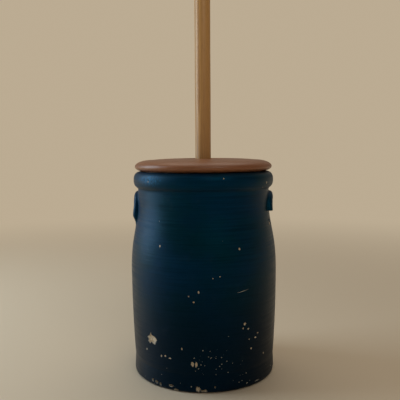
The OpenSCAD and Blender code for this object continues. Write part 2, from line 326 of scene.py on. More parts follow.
def grainy(tree, coordinates, scale, detail=3.0, roughness=0.5):
    """A noise value, about 0.5 in the middle."""
    return node(tree, "ShaderNodeTexNoise", {
        "Vector": coordinates, "Scale": scale, "Detail": detail, "Roughness": roughness,
    }).outputs[0]


def eased(tree, value, low, high, to_low=0.0, to_high=1.0):
    """The value brought from low..high to to_low..to_high, with soft ends."""
    return node(tree, "ShaderNodeMapRange", {
        "Value": value, "From Min": low, "From Max": high, "To Min": to_low, "To Max": to_high,
    }, interpolation_type="SMOOTHSTEP").outputs[0]


def mixed(tree, share, first, second, blend="MIX"):
    """A mix of two colours."""
    made = node(tree, "ShaderNodeMix", data_type="RGBA", blend_type=blend)
    for socket, value in ((made.inputs[0], share), (made.inputs[6], first), (made.inputs[7], second)):
        if isinstance(value, bpy.types.NodeSocket):
            tree.links.new(value, socket)
        else:
            socket.default_value = (*value, 1) if isinstance(value, tuple) else value
    return made.outputs[2]


def bumped(tree, inputs, *heights):
    """Bump from several (height, distance in metres, strength) on one shader."""
    normal = None
    for height, distance, strength in heights:
        bump = node(tree, "ShaderNodeBump", {"Height": height, "Distance": distance, "Strength": strength})
        if normal:
            tree.links.new(normal, bump.inputs["Normal"])
        normal = bump.outputs[0]
    tree.links.new(normal, inputs["Normal"])


def round_jar(azimuth, height, out=0.0):
    """A place on the jar: its azimuth in degrees from the front (-Y) towards +X, then its height."""
    turn = math.radians(azimuth)
    radius = jar_r(height) + out
    return Vector((radius * math.sin(turn), -radius * math.cos(turn), height))


def near(tree, coordinates, centre, reach):
    """1 at a place, down to 0 at its reach, which is a size for each axis."""
    away = vcalc(tree, "DIVIDE", vcalc(tree, "SUBTRACT", coordinates, tuple(centre)), reach)
    return eased(tree, vcalc(tree, "LENGTH", away), 0.0, 1.0, 1.0, 0.0)


paint_teal = (0.0008, 0.0185, 0.0290)
paint_blue = (0.0008, 0.0170, 0.0460)
# Darker paint for the foot: partly worn and dirty paint, partly painted shade.
paint_foot_dirt_and_shade = (0.0012, 0.0022, 0.0070)
# Brighter blue for a painted highlight on the rim's left side.
paint_highlight_blue = (0.002, 0.105, 0.24)
paint_dusty = (0.050, 0.062, 0.060)
clay_pale = (0.62, 0.52, 0.38)
clay_warm = (0.42, 0.29, 0.16)

paint, tree, shader, spot = material(
    "blue paint", 0.42, Specular_IOR_Level=0.30, Specular_Tint=(0.02, 0.50, 1.0, 1.0),
)
height = node(tree, "ShaderNodeSeparateXYZ", {0: spot}).outputs["Z"]
brushed = grainy(tree, stretched(tree, spot, (9, 9, 420)), 1.0, 4.0, 0.62)
brushed_fine = grainy(tree, stretched(tree, spot, (30, 30, 1300)), 1.0, 3.0)
mottled = grainy(tree, spot, 11.0, 4.0, 0.6)
gritty = grainy(tree, spot, 900.0, 2.0)
colour = mixed(tree, eased(tree, mottled, 0.38, 0.66), paint_teal, paint_blue)
# Darker towards the foot: partly worn and dirty paint, partly painted shade for the dimly lit lower side.
foot_dirt_and_shade_height = calc(tree, "ADD", height, calc(tree, "MULTIPLY", mottled, 0.06))
colour = mixed(tree, eased(tree, foot_dirt_and_shade_height, 0.09, 0.275), paint_foot_dirt_and_shade, colour)
# A brighter blue patch high on the left of the rim is a painted highlight, where the window light falls.
highlight_patch = near(tree, spot, round_jar(-43, 0.329), (0.036, 0.036, 0.013))
highlight_patch = calc(tree, "MULTIPLY", highlight_patch, eased(tree, grainy(tree, spot, 320.0, 4.0, 0.7), 0.42, 0.62))
colour = mixed(tree, highlight_patch, colour, paint_highlight_blue)
colour = mixed(tree, 1.0, colour, node(tree, "ShaderNodeCombineColor", {
    i: eased(tree, brushed, 0.25, 0.75, 0.72, 1.35) for i in range(3)
}).outputs[0], "MULTIPLY")
dust = calc(tree, "MULTIPLY", eased(tree, grainy(tree, spot, 45.0, 5.0, 0.65), 0.55, 0.80), 0.12)
colour = mixed(tree, dust, colour, paint_dusty)
tree.links.new(colour, shader["Base Color"])
tree.links.new(eased(tree, calc(tree, "ADD", brushed, mottled), 0.7, 1.3, 0.34, 0.52), shader["Roughness"])
bumped(tree, shader, (brushed, 0.0004, 0.35), (brushed_fine, 0.0002, 0.3), (gritty, 0.0002, 0.25))

clay, tree, shader, spot = material("bare clay", 0.9)
colour = mixed(tree, eased(tree, grainy(tree, spot, 160.0, 4.0, 0.6), 0.4, 0.65), clay_pale, clay_warm)
colour = mixed(tree, eased(tree, grainy(tree, spot, 1400.0, 2.0), 0.62, 0.7), colour, (0.16, 0.11, 0.07))
tree.links.new(colour, shader["Base Color"])
bumped(tree, shader, (grainy(tree, spot, 900.0, 4.0, 0.7), 0.0004, 0.6))

chip_edge, tree, shader, spot = material("broken glaze edge", 0.5)
patchy = eased(tree, grainy(tree, spot, 500.0, 3.0), 0.4, 0.7)
colour = mixed(tree, patchy, (0.44, 0.42, 0.36), (0.22, 0.21, 0.18))
tree.links.new(colour, shader["Base Color"])
bumped(tree, shader, (grainy(tree, spot, 1500.0, 3.0), 0.0003, 0.5))

slip, tree, shader, spot = material("brown slip glaze", 0.2, Coat_Weight=0.3)
runs = grainy(tree, stretched(tree, spot, (60, 60, 9)), 1.0, 4.0, 0.6)
colour = mixed(tree, eased(tree, runs, 0.35, 0.7), (0.045, 0.018, 0.008), (0.105, 0.045, 0.018))
tree.links.new(colour, shader["Base Color"])
tree.links.new(eased(tree, runs, 0.3, 0.7, 0.16, 0.34), shader["Roughness"])
bumped(tree, shader, (grainy(tree, stretched(tree, spot, (12, 12, 260)), 1.0), 0.0005, 0.4))


# The jar's clay
# One turned body of about 4 to 5 mm rings on the outside, from the potter's hand, and coarser ones
# inside. It replaces the plain solid of the jar.
jar = turned(
    "thrown_jar",
    [
        (evenly(jar_underside, 0.010), 2, 0.3),
        (softened(evenly(jar_outside, 0.0013), 3), 0, 1.0),
        (evenly(jar_inside, 0.006), 1, 1.0),
    ],
    segments=200, spacing=0.0045, depth=0.00035, wobble=0.0006, seed=3,
    outside=paint, inside=slip, underside=clay,
)


# Chips
# Where the jar was knocked, flakes of paint, glaze and clay have come away. Each is a shallow
# hollow with a ragged outline, cut out of the jar. Sizes are across and up, in metres.
def ragged(across, up, points, seed, rough=0.22):
    """A round outline with a ragged edge."""
    draw = random.Random(seed)
    outline = []
    for k in range(points):
        turn = 2 * math.pi * (k + draw.uniform(-0.3, 0.3)) / points
        reach = 1 + rough * draw.uniform(-1, 1)
        outline.append((across / 2 * reach * math.cos(turn), up / 2 * reach * math.sin(turn)))
    return outline


def flake(cutter, azimuth, height, outline, depth, seed):
    """Adds the body of one flake to the cutter, from just above the wall down to its depth."""
    def on_wall(u, v, n):
        return round_jar(azimuth + math.degrees(u / jar_r(height)), height + v, n)

    above = 0.0012
    layers = [(1.02, above), (0.98, -0.0002), (0.88, -0.75 * depth), (0.6, -0.92 * depth), (0.3, -depth)]
    rings = []
    for scale, n in layers:
        ring = []
        for u, v in outline:
            shift = noise.noise(Vector((u, v, seed)) * 400) * 0.45 * depth if n < -0.5 * depth else 0
            ring.append(cutter.verts.new(on_wall(u * scale, v * scale, n + shift)))
        rings.append(ring)
    top = cutter.verts.new(on_wall(0, 0, above))
    bottom = cutter.verts.new(on_wall(0, 0, -depth))
    count = len(outline)
    for k in range(count):
        n = (k + 1) % count
        cutter.faces.new((rings[0][k], rings[0][n], top))
        for number, (upper, lower) in enumerate(zip(rings, rings[1:])):
            face = cutter.faces.new((upper[k], lower[k], lower[n], upper[n]))
            face.material_index = 1 if number < 2 else 0
        cutter.faces.new((rings[-1][n], rings[-1][k], bottom))


star_chip = [
    (-2.5, 10.4), (0, 6.4), (7.0, 4.9), (11.2, 0.3), (8.1, -4.0), (7.0, -8.1), (3.2, -7.7),
    (-1.1, -4.7), (-4.7, -8.9), (-9.8, -5.5), (-8.1, -2.4), (-11.7, 1.7), (-7.2, 4.0), (-4.7, 6.4),
]
chips = bmesh.new()
flake(chips, -40.0, 0.0765, [(u / 1000, v / 1000) for u, v in star_chip], 0.0013, 1)
small_chips = [
    # azimuth, height, across, up, depth
    (-5.8, 0.0468, 0.0046, 0.0082, 0.0009), (-3.0, 0.0462, 0.0044, 0.0090, 0.0009),
    (34.0, 0.1056, 0.0050, 0.0046, 0.0008), (32.6, 0.0990, 0.0026, 0.0030, 0.0006),
    (37.3, 0.0965, 0.0040, 0.0028, 0.0006), (46.9, 0.0855, 0.0040, 0.0022, 0.0006),
    (44.6, 0.0790, 0.0044, 0.0026, 0.0006), (38.4, 0.0790, 0.0026, 0.0020, 0.0005),
    (40.6, 0.0630, 0.0034, 0.0036, 0.0006), (55.5, 0.0470, 0.0028, 0.0034, 0.0006),
    (-0.8, 0.1606, 0.0026, 0.0050, 0.0005), (-4.3, 0.1450, 0.0030, 0.0030, 0.0005),
    (-31.5, 0.2274, 0.0028, 0.0036, 0.0005), (30.0, 0.2240, 0.0030, 0.0040, 0.0005),
    (9.5, 0.1810, 0.0026, 0.0030, 0.0004), (-13.5, 0.0700, 0.0022, 0.0040, 0.0005),
    (-31.0, 0.0530, 0.0030, 0.0034, 0.0005), (-27.5, 0.0545, 0.0034, 0.0026, 0.0005),
    (-23.5, 0.0520, 0.0044, 0.0022, 0.0005), (-47.0, 0.0560, 0.0024, 0.0034, 0.0005),
    (18.0, 0.3320, 0.0026, 0.0022, 0.0005), (62.0, 0.3226, 0.0030, 0.0046, 0.0005),
    (58.0, 0.3150, 0.0018, 0.0024, 0.0004), (-44.0, 0.3260, 0.0020, 0.0018, 0.0004),
    (14.3, 0.1840, 0.0020, 0.0016, 0.0004), (-8.0, 0.1540, 0.0018, 0.0022, 0.0004),
    (121.0, 0.1180, 0.0130, 0.0095, 0.0012), (148.0, 0.0610, 0.0070, 0.0052, 0.0009),
    (171.0, 0.0950, 0.0048, 0.0062, 0.0008), (-118.0, 0.0440, 0.0088, 0.0064, 0.0010),
    (-152.0, 0.0880, 0.0040, 0.0046, 0.0007), (-101.0, 0.1270, 0.0038, 0.0030, 0.0006),
]
foot_chips = [
    # azimuth, height, across, up
    (-40.5, 0.0085, 0.0048, 0.0050), (-36.5, 0.0075, 0.0066, 0.0044), (-32.6, 0.0062, 0.0048, 0.0052),
    (-23.0, 0.0076, 0.0086, 0.0040), (-18.4, 0.0024, 0.0084, 0.0036), (-1.8, 0.0064, 0.0070, 0.0082),
    (2.6, 0.0040, 0.0096, 0.0050), (11.0, 0.0098, 0.0030, 0.0036), (37.0, 0.0080, 0.0040, 0.0026),
    (47.5, 0.0066, 0.0100, 0.0026), (79.0, 0.0040, 0.0110, 0.0070), (112.0, 0.0034, 0.0070, 0.0058),
    (139.0, 0.0030, 0.0150, 0.0070), (176.0, 0.0040, 0.0080, 0.0060), (-74.0, 0.0036, 0.0060, 0.0050),
    (-109.0, 0.0040, 0.0120, 0.0070), (-146.0, 0.0030, 0.0090, 0.0060),
]
for number, (azimuth, height, across, up, depth) in enumerate(small_chips):
    flake(chips, azimuth, height, ragged(across, up, 11, number), depth, number + 10)
for number, (azimuth, height, across, up) in enumerate(foot_chips):
    flake(chips, azimuth, height, ragged(across, up, 13, number + 50, 0.3), 0.0026, number + 60)
bmesh.ops.recalc_face_normals(chips, faces=chips.faces)
for face in chips.faces:
    face.smooth = True
chip_mesh = bpy.data.meshes.new("chips")
chips.to_mesh(chip_mesh)
chips.free()
chip_mesh.materials.append(clay)
chip_mesh.materials.append(chip_edge)
chip_cutter = linked("chip_cutter", chip_mesh)


def carve(piece, cutter):
    """Takes the cutter's body out of the piece. The cut faces keep the cutter's materials."""
    for slot in cutter.data.materials:
        if slot and slot.name not in piece.data.materials:
            piece.data.materials.append(slot)
    cut = piece.modifiers.new("carve", "BOOLEAN")
    cut.operation = "DIFFERENCE"
    cut.solver = "MANIFOLD"
    cut.object = cutter
    plain(piece)
    bpy.data.objects.remove(cutter)
    return piece


# Small flecks crowd low on the front, where the jar met buckets and boots, with a few all round.
def fleck_tree():
    """Scatters the bodies of small ragged flecks on the wall, away from the chips."""
    tree, given, result = geometry_tree(
        "flecks", Wall="Geometry", Chips="Object", Centre="Vector", Reach="Vector", Low="Float",
        Most="Float", Size="Float", Depth="Float", Seed="Int", Bare="Material",
    )
    here = node(tree, "GeometryNodeInputPosition").outputs[0]
    height = node(tree, "ShaderNodeSeparateXYZ", {0: here}).outputs["Z"]
    zone = node(tree, "GeometryNodeInputNamedAttribute", {"Name": "zone"}, data_type="FLOAT").outputs[0]
    from_centre = vcalc(tree, "SUBTRACT", here, given["Centre"])
    away = vcalc(tree, "LENGTH", vcalc(tree, "DIVIDE", from_centre, given["Reach"]))
    crowd = calc(tree, "POWER", eased(tree, away, 0.0, 1.0, 1.0, 0.0), 1.5)
    low = eased(tree, height, 0.0, given["Low"], 0.05, 0.002)
    chips = node(tree, "GeometryNodeObjectInfo", {"Object": given["Chips"]}).outputs["Geometry"]
    clear = node(tree, "GeometryNodeProximity", {"Geometry": chips}).outputs["Distance"]
    allowed = calc(tree, "LESS_THAN", zone, 0.5)
    for operation, value, limit in (
        ("GREATER_THAN", clear, 0.0022), ("LESS_THAN", height, 0.30), ("GREATER_THAN", height, 0.005),
    ):
        allowed = calc(tree, "MULTIPLY", allowed, calc(tree, operation, value, limit))
    scatter = node(tree, "GeometryNodeDistributePointsOnFaces", {
        "Mesh": given["Wall"], "Distance Min": calc(tree, "MULTIPLY", given["Size"], 1.7),
        "Density Max": given["Most"],
        "Density Factor": calc(tree, "MULTIPLY", allowed, calc(tree, "ADD", crowd, low)),
        "Seed": given["Seed"],
    }, distribute_method="POISSON")

    def chance(low_end, high_end, shift):
        return node(tree, "FunctionNodeRandomValue", {
            "Min": low_end, "Max": high_end, "Seed": calc(tree, "ADD", given["Seed"], shift),
        }, data_type="FLOAT").outputs["Value"]

    across = calc(tree, "MULTIPLY", given["Size"], calc(tree, "POWER", chance(0.45, 1.0, 1), 2))
    body_size = node(tree, "ShaderNodeCombineXYZ", {
        "X": across, "Y": calc(tree, "MULTIPLY", across, chance(0.6, 1.5, 2)), "Z": given["Depth"],
    }).outputs[0]
    spin = node(tree, "FunctionNodeEulerToRotation", {
        0: node(tree, "ShaderNodeCombineXYZ", {"Z": chance(0.0, 6.28, 3)}).outputs[0],
    }).outputs[0]
    facing = node(tree, "FunctionNodeRotateRotation", {
        "Rotation": scatter.outputs["Rotation"], "Rotate By": spin,
    }, rotation_space="LOCAL").outputs[0]
    fleck = node(tree, "GeometryNodeMeshIcoSphere", {"Radius": 1.0, "Subdivisions": 2}).outputs["Mesh"]
    piece = node(tree, "GeometryNodeInstanceOnPoints", {
        "Points": scatter.outputs["Points"], "Instance": fleck, "Rotation": facing, "Scale": body_size,
    }).outputs[0]
    piece = node(tree, "GeometryNodeRealizeInstances", {0: piece}).outputs[0]
    uneven = node(tree, "ShaderNodeTexNoise", {"Vector": here, "Scale": 1300.0, "Detail": 1.0}).outputs["Color"]
    uneven = vcalc(tree, "SCALE", vcalc(tree, "SUBTRACT", uneven, (0.5, 0.5, 0.5)))
    tree.links.new(calc(tree, "MULTIPLY", given["Depth"], 1.6), uneven.node.inputs["Scale"])
    piece = node(tree, "GeometryNodeSetPosition", {"Geometry": piece, "Offset": uneven}).outputs[0]
    piece = node(tree, "GeometryNodeSetShadeSmooth", {0: piece}).outputs[0]
    piece = node(tree, "GeometryNodeSetMaterial", {"Geometry": piece, "Material": given["Bare"]}).outputs[0]
    tree.links.new(piece, result)
    return tree


fleck_centre = round_jar(11, 0.050)
fleck_reach = (0.052, 0.06, 0.040)
fleck_cutter = shaped(
    linked("fleck_cutter", jar.data.copy()), fleck_tree(), Chips=chip_cutter, Centre=fleck_centre,
    Reach=fleck_reach, Low=0.10, Most=26000.0, Size=0.0009, Depth=0.00026, Seed=4, Bare=chip_edge,
)

# Two long scratches slant across the belly, one deep and one hardly felt.
scratches = bmesh.new()


def scratch(cutter, start, end, width, depth, seed):
    """Adds the body of a scratch between two places, (azimuth, height), to the cutter."""
    steps = 26
    rings = []
    for k in range(steps + 1):
        share = k / steps
        azimuth = start[0] + (end[0] - start[0]) * share
        z = start[1] + (end[1] - start[1]) * share + 0.0003 * noise.noise(Vector((share * 5, seed, 0)))
        taper = math.sin(math.pi * min(max(share, 0.02), 0.98)) ** 0.6
        half = width / 2 * taper * (1 + 0.5 * noise.noise(Vector((share * 14, seed, 3))))
        deep = depth * taper * (0.8 + 0.5 * noise.noise(Vector((share * 9, seed, 8))))
        rings.append([
            cutter.verts.new(round_jar(azimuth, z + half, 0.0006)),
            cutter.verts.new(round_jar(azimuth, z, -max(deep, 0.00005))),
            cutter.verts.new(round_jar(azimuth, z - half, 0.0006)),
        ])
    for first, second in zip(rings, rings[1:]):
        for k in range(3):
            cutter.faces.new((first[k], first[(k + 1) % 3], second[(k + 1) % 3], second[k]))
    cutter.faces.new(rings[0])
    cutter.faces.new(rings[-1])


scratch(scratches, (26.6, 0.1562), (37.2, 0.1600), 0.0028, 0.00050, 1)
scratch(scratches, (38.2, 0.1448), (46.0, 0.1474), 0.0017, 0.00022, 2)
scratch(scratches, (46.8, 0.1477), (55.0, 0.1502), 0.0015, 0.00018, 3)
scratch(scratches, (-48.0, 0.1885), (-40.5, 0.1893), 0.0012, 0.00014, 4)
scratch(scratches, (12.0, 0.1180), (13.2, 0.1050), 0.0012, 0.00014, 5)
scratch(scratches, (98.0, 0.1310), (112.0, 0.1250), 0.0020, 0.00030, 6)
scratch(scratches, (-128.0, 0.1700), (-119.0, 0.1770), 0.0018, 0.00024, 7)
bmesh.ops.recalc_face_normals(scratches, faces=scratches.faces)
scratch_mesh = bpy.data.meshes.new("scratches")
scratches.to_mesh(scratch_mesh)
scratches.free()
scratch_mesh.materials.append(chip_edge)
scratch_cutter = linked("scratch_cutter", scratch_mesh)

carve(jar, chip_cutter)
carve(jar, fleck_cutter)
carve(jar, scratch_cutter)
jar.data.set_sharp_from_angle(angle=math.radians(40))
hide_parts("crock_jar")
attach(jar, "crock")


# The ears
# Each ear is a strap of clay, bent to a horseshoe and pressed on under the crease, its legs thumbed
# down into the wall. The left one is whole. The right one lost both legs, and keeps its crown.
ear_drop = 0.005
ear_rise = 0.043
ear_span = 0.050
ear_crown_w = 0.024
ear_leg_w = 0.017
ear_crown_t = 0.0077
ear_leg_t = 0.0086
ear_peak = 0.2
ear_power = 2.4
ear_sunk = 0.0012
ear_skirt = ((1.0, 0.0011), (1.08, 0.0005), (1.18, 0.0001), (1.34, -0.0006))
ear_smear = 0.006
ear_break_z = crease_z - ear_drop - 0.031

ear_arc_r = ear_span / 2
ear_leg_l = ear_rise - ear_arc_r
ear_length = 2 * ear_leg_l + math.pi * ear_arc_r
ear_foot_z = crease_z - ear_drop - ear_crown_w / 2 - ear_rise


def ease(share):
    """From 0 to 1 with level ends."""
    return (1 - math.cos(math.pi * min(max(share, 0), 1))) / 2


def ear_line(travel):
    """The strap's centre line: its place along the wall, its height above the legs' ends, its turn."""
    turn = min(max((travel - ear_leg_l) / ear_arc_r, 0), math.pi)
    below = max(ear_leg_l - travel, travel - ear_length + ear_leg_l, 0)
    return ear_arc_r * math.cos(turn), ear_leg_l + ear_arc_r * math.sin(turn) - below, turn


def ear_swell(side):
    """How full the strap is across its width, from its inner edge, -1, to its outer one, 1."""
    if side > ear_peak:
        return max(1 - ((side - ear_peak) / (1 - ear_peak)) ** ear_power, 0) ** (1 / ear_power)
    return math.sqrt(max(1 - ((ear_peak - side) / (1 + ear_peak)) ** 2, 0))


def ear_wall(s, z, n):
    """A place on the wall of the right ear: along it by s towards the back, at a height, proud by n."""
    turn = s / neck_r
    radius = side_r(z) + n
    return Vector((radius * math.cos(turn), radius * math.sin(turn), z))


def strap(name, start, end, stations, thickness, width):
    """A strap between two travels of the centre line, with a skirt that is smeared into the wall."""
    shape = bmesh.new()
    rings = []
    for station in range(stations + 1):
        along, height, turn = ear_line(start + (end - start) * station / stations)
        half, full = width(height) / 2, thickness(along, height)
        section = [(-side, low * min(full / 0.002, 1)) for side, low in reversed(ear_skirt)]
        section += [
            (side, max(full * ear_swell(side), ear_skirt[0][1] * min(full / 0.002, 1)))
            for side in (-math.cos(math.radians(t)) for t in range(22, 170, 12))
        ]
        section += [(side, low * min(full / 0.002, 1)) for side, low in ear_skirt]
        section += [(side, -ear_sunk) for side in (1.2, 0.6, 0, -0.6, -1.2)]
        rings.append([
            shape.verts.new(ear_wall(
                along + side * half * math.cos(turn), ear_foot_z + height + side * half * math.sin(turn), n,
            ))
            for side, n in section
        ])
    count = len(rings[0])
    for first, second in zip(rings, rings[1:]):
        for k in range(count):
            shape.faces.new((first[k], first[(k + 1) % count], second[(k + 1) % count], second[k]))
    shape.faces.new(rings[0])
    shape.faces.new(rings[-1])
    bmesh.ops.recalc_face_normals(shape, faces=shape.faces)
    for face in shape.faces:
        face.smooth = True
    mesh = bpy.data.meshes.new(name)
    shape.to_mesh(mesh)
    shape.free()
    return linked(name, mesh)


def ear_w(height):
    """Width of the strap, at a height above the legs' ends."""
    crown = ease((height / ear_rise - 0.45) / 0.55)
    return (ear_leg_w + (ear_crown_w - ear_leg_w) * crown) * (0.62 + 0.38 * ease(height / ear_rise * 2.6))


def ear_t(along, height):
    """How far the strap stands out, at a height above the legs' ends. It dies away below them."""
    crown = ease((height / ear_rise - 0.45) / 0.55)
    full = ear_leg_t + (ear_crown_t - ear_leg_t) * crown
    return full * (0.16 + 0.84 * ease(height / ear_rise * 2.6)) + min(height, 0) / ear_smear * 0.0022


def smoothed(piece, levels):
    """The piece after subdivision, as a plain mesh."""
    finer = piece.modifiers.new("finer", "SUBSURF")
    finer.levels = finer.render_levels = levels
    return plain(piece)


def kneading_tree():
    """Presses a piece in by uneven amounts, as fingers leave soft clay."""
    tree, given, result = geometry_tree(
        "kneaded piece", Clay="Geometry", Depth="Float", Size="Float", Seed="Float", Finish="Material",
    )
    uneven = node(tree, "ShaderNodeTexNoise", {
        "Vector": node(tree, "GeometryNodeInputPosition").outputs[0], "W": given["Seed"],
        "Scale": calc(tree, "DIVIDE", 1.0, given["Size"]), "Detail": 3.0,
    }, noise_dimensions="4D").outputs[0]
    inward = vcalc(tree, "SCALE", node(tree, "GeometryNodeInputNormal").outputs[0])
    deep = calc(tree, "MULTIPLY", uneven, given["Depth"])
    tree.links.new(calc(tree, "MULTIPLY", deep, -1.0), inward.node.inputs["Scale"])
    piece = node(tree, "GeometryNodeSetPosition", {"Geometry": given["Clay"], "Offset": inward}).outputs[0]
    piece = node(tree, "GeometryNodeSetShadeSmooth", {0: piece}).outputs[0]
    piece = node(tree, "GeometryNodeRealizeInstances", {0: piece}).outputs[0]
    piece = node(tree, "GeometryNodeSetMaterial", {"Geometry": piece, "Material": given["Finish"]}).outputs[0]
    tree.links.new(piece, result)
    return tree


kneading = kneading_tree()


def made_ear(name, start, end, stations, thickness, seed, depth=0.0010, size=0.008):
    """A finished strap, on the right side of the jar."""
    piece = smoothed(strap(name, start, end, stations, thickness, ear_w), 2)
    return shaped(piece, kneading, Depth=depth, Size=size, Seed=float(seed), Finish=paint)


whole_ear = made_ear("whole_ear", -ear_smear, ear_length + ear_smear, 44, ear_t, 5)
whole_ear.data.transform(Matrix.Rotation(math.pi, 4, "Z"))
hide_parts("left_ear")
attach(whole_ear, "crock")


def rough_block(low, high, tilt, steps, depth, size, seed):
    """A block with a torn top, which breaks off what is below it. The tilt is its rise along Y."""
    block = bmesh.new()
    rows = []
    for i in range(steps + 1):
        row = []
        for j in range(steps + 1):
            x = low.x + (high.x - low.x) * i / steps
            y = low.y + (high.y - low.y) * j / steps
            torn = noise.fractal(Vector((x, y, seed)) / size, 0.9, 2.1, 5) * depth
            row.append(block.verts.new((x, y, high.z + tilt * (y - (low.y + high.y) / 2) + torn)))
        rows.append(row)
    for i in range(steps):
        for j in range(steps):
            block.faces.new((rows[i][j], rows[i + 1][j], rows[i + 1][j + 1], rows[i][j + 1]))
    floor_edges = bmesh.ops.extrude_edge_only(
        block, edges=[edge for edge in block.edges if edge.is_boundary],
    )["geom"]
    bottom = [v for v in floor_edges if isinstance(v, bmesh.types.BMVert)]
    for vertex in bottom:
        vertex.co.z = low.z
    bmesh.ops.contextual_create(block, geom=[e for e in floor_edges if isinstance(e, bmesh.types.BMEdge)])
    bmesh.ops.recalc_face_normals(block, faces=block.faces)
    mesh = bpy.data.meshes.new("break")
    block.to_mesh(mesh)
    block.free()
    mesh.materials.append(clay)
    return linked("break", mesh)


broken_ear = made_ear("broken_ear", ear_leg_l * 0.4, ear_length - ear_leg_l * 0.4, 36, ear_t, 9)
for side in (-1, 1):
    carve(broken_ear, rough_block(
        Vector((neck_r - 0.008, side * ear_span / 2 - 0.024, ear_foot_z - 0.01)),
        Vector((neck_r + 0.018, side * ear_span / 2 + 0.024, ear_break_z + 0.0006 * side)),
        -0.12 * side, 40, 0.0022, 0.006, side + 4,
    ))
broken_ear.data.set_sharp_from_angle(angle=math.radians(42))
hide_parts("right_ear")
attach(broken_ear, "crock")

# Where a leg tore off, low rough clay is left on the wall. Most of it was painted over since.
for name, start, end, seed in (("front_leg_scar", ear_length - ear_leg_l * 0.55, ear_length + 0.002, 2),
                               ("back_leg_scar", -0.002, ear_leg_l * 0.55, 6)):
    def scar_t(along, height):
        risen = ease((height + 0.004) / 0.006)
        return 0.0011 * risen * ease((ear_break_z + 0.004 - ear_foot_z - height) / 0.004)

    scar = made_ear(name, start, end, 16, scar_t, seed, depth=0.0016, size=0.0035)
    scar.data.materials.append(clay)
    for face in scar.data.polygons:
        bare = noise.noise(face.center * 150 + Vector((0, seed, 0)))
        face.material_index = 1 if bare > 0.12 else 0
    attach(scar, "crock")


# The lid
# The lid is a wide board turned on a lathe: a cushion edge, a gentle dome, and a saucer round the
# hole that lets what splashes up run back. It is oiled and worn smooth. Sizes are the real board's.
board_low, board_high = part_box("lid_board")
lid_z = board_low.z
lid_r = board_high.x
lid_t = board_high.z - board_low.z
lid_edge_h = 0.0073
lid_top_round = 0.026
lid_low_round = 0.014
lid_dome = 0.0022
saucer_r = 0.041
saucer_depth = 0.0055
saucer_lip = 0.0016
staff_low, staff_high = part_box("dasher_staff")
staff_r = staff_high.x
hole_r = staff_r + 0.0018

dome_from = lid_r - lid_top_round
round_top = lid_t - lid_dome
saucer_floor = lid_t - saucer_depth
cove_r = saucer_depth - saucer_lip


def wood(name, light, dark, roughness, ring, pith, turn=(0, 0, 0), waver=0.004, figure=1.0):
    """Wood that grew round a pith line. Its grain runs along Z, before the turn."""
    made, tree, inputs, spot = material(name, roughness)
    grown = stretched(tree, spot, (1, 1, 1), turn, pith)
    drift = node(tree, "ShaderNodeTexNoise", {
        "Vector": stretched(tree, grown, (16, 16, 3.0)), "Scale": 1.0, "Detail": 2.0,
    }).outputs["Color"]
    drift = vcalc(tree, "MULTIPLY", vcalc(tree, "SUBTRACT", drift, (0.5, 0.5, 0.5)), (waver, waver, 0))
    across = vcalc(tree, "MULTIPLY", vcalc(tree, "ADD", grown, drift), (1, 1, 0))
    age = calc(tree, "DIVIDE", vcalc(tree, "LENGTH", across), ring)
    years = calc(tree, "ADD", age, calc(tree, "MULTIPLY", grainy(tree, across, 0.25 / ring, 1.0), 1.6))
    share = calc(tree, "FRACT", years)
    late = calc(
        tree, "MULTIPLY", eased(tree, share, 0.25, 0.86), eased(tree, share, 0.90, 1.0, 1.0, 0.0),
    )
    fibres = grainy(tree, stretched(tree, grown, (1100, 1100, 22)), 1.0, 3.0, 0.6)
    pores = eased(tree, grainy(tree, stretched(tree, grown, (1900, 1900, 45)), 1.0, 2.0), 0.60, 0.72)
    tone = grainy(tree, stretched(tree, grown, (9, 9, 2.5)), 1.0, 3.0)
    shade = calc(tree, "ADD", calc(tree, "MULTIPLY", late, 0.55 * figure), calc(tree, "MULTIPLY", fibres, 0.35))
    shade = calc(tree, "ADD", shade, calc(tree, "MULTIPLY", calc(tree, "SUBTRACT", tone, 0.5), 0.7), clamp=True)
    colour = mixed(tree, shade, light, dark)
    colour = mixed(tree, calc(tree, "MULTIPLY", pores, 0.45), colour, tuple(c * 0.35 for c in dark))
    tree.links.new(colour, inputs["Base Color"])
    tree.links.new(
        eased(tree, calc(tree, "ADD", fibres, calc(tree, "MULTIPLY", late, 0.3)), 0.3, 1.0,
              roughness - 0.06, roughness + 0.12),
        inputs["Roughness"],
    )
    bumped(tree, inputs, (fibres, 0.00025, 0.35), (pores, 0.0002, -0.4), (late, 0.0003, -0.25))
    return made, tree, inputs, spot


lid_wood = wood(
    "lid wood", (0.30, 0.118, 0.050), (0.14, 0.048, 0.020), 0.36, 0.0034, (0.0, 0.30, 0.09),
    turn=(0, math.radians(90), 0), waver=0.008, figure=0.5,
)[0]
lid_outline = softened(evenly(
    [(hole_r, 0), (lid_r - lid_low_round, 0)]
    + arc((lid_r - lid_low_round, lid_edge_h), (lid_low_round, lid_edge_h), -90, 0)
    + arc((lid_r - lid_top_round, lid_edge_h), (lid_top_round, round_top - lid_edge_h), 0, 90)
    + [
        (dome_from + (saucer_r + saucer_lip - dome_from) * share, round_top + lid_dome * (1 - (1 - share) ** 2))
        for share in np.linspace(0, 1, 40)[1:]
    ]
    + arc((saucer_r + saucer_lip, lid_t - saucer_lip), (-saucer_lip, saucer_lip), 90, 0, 8)
    + arc((saucer_r - cove_r, lid_t - saucer_lip), (cove_r, cove_r), 0, -90, 12)
    + [(hole_r, saucer_floor), (hole_r, 0)],
    0.0008,
), 2)
lid = turned(
    "lid", [(lid_outline + (0, lid_z), 0, 1.0)], segments=180,
    spacing=0.0032, depth=0.00012, wobble=0.0005, seed=11, outside=lid_wood,
)
lid.data.set_sharp_from_angle(angle=math.radians(50))
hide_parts("lid_board")
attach(lid, "lid")

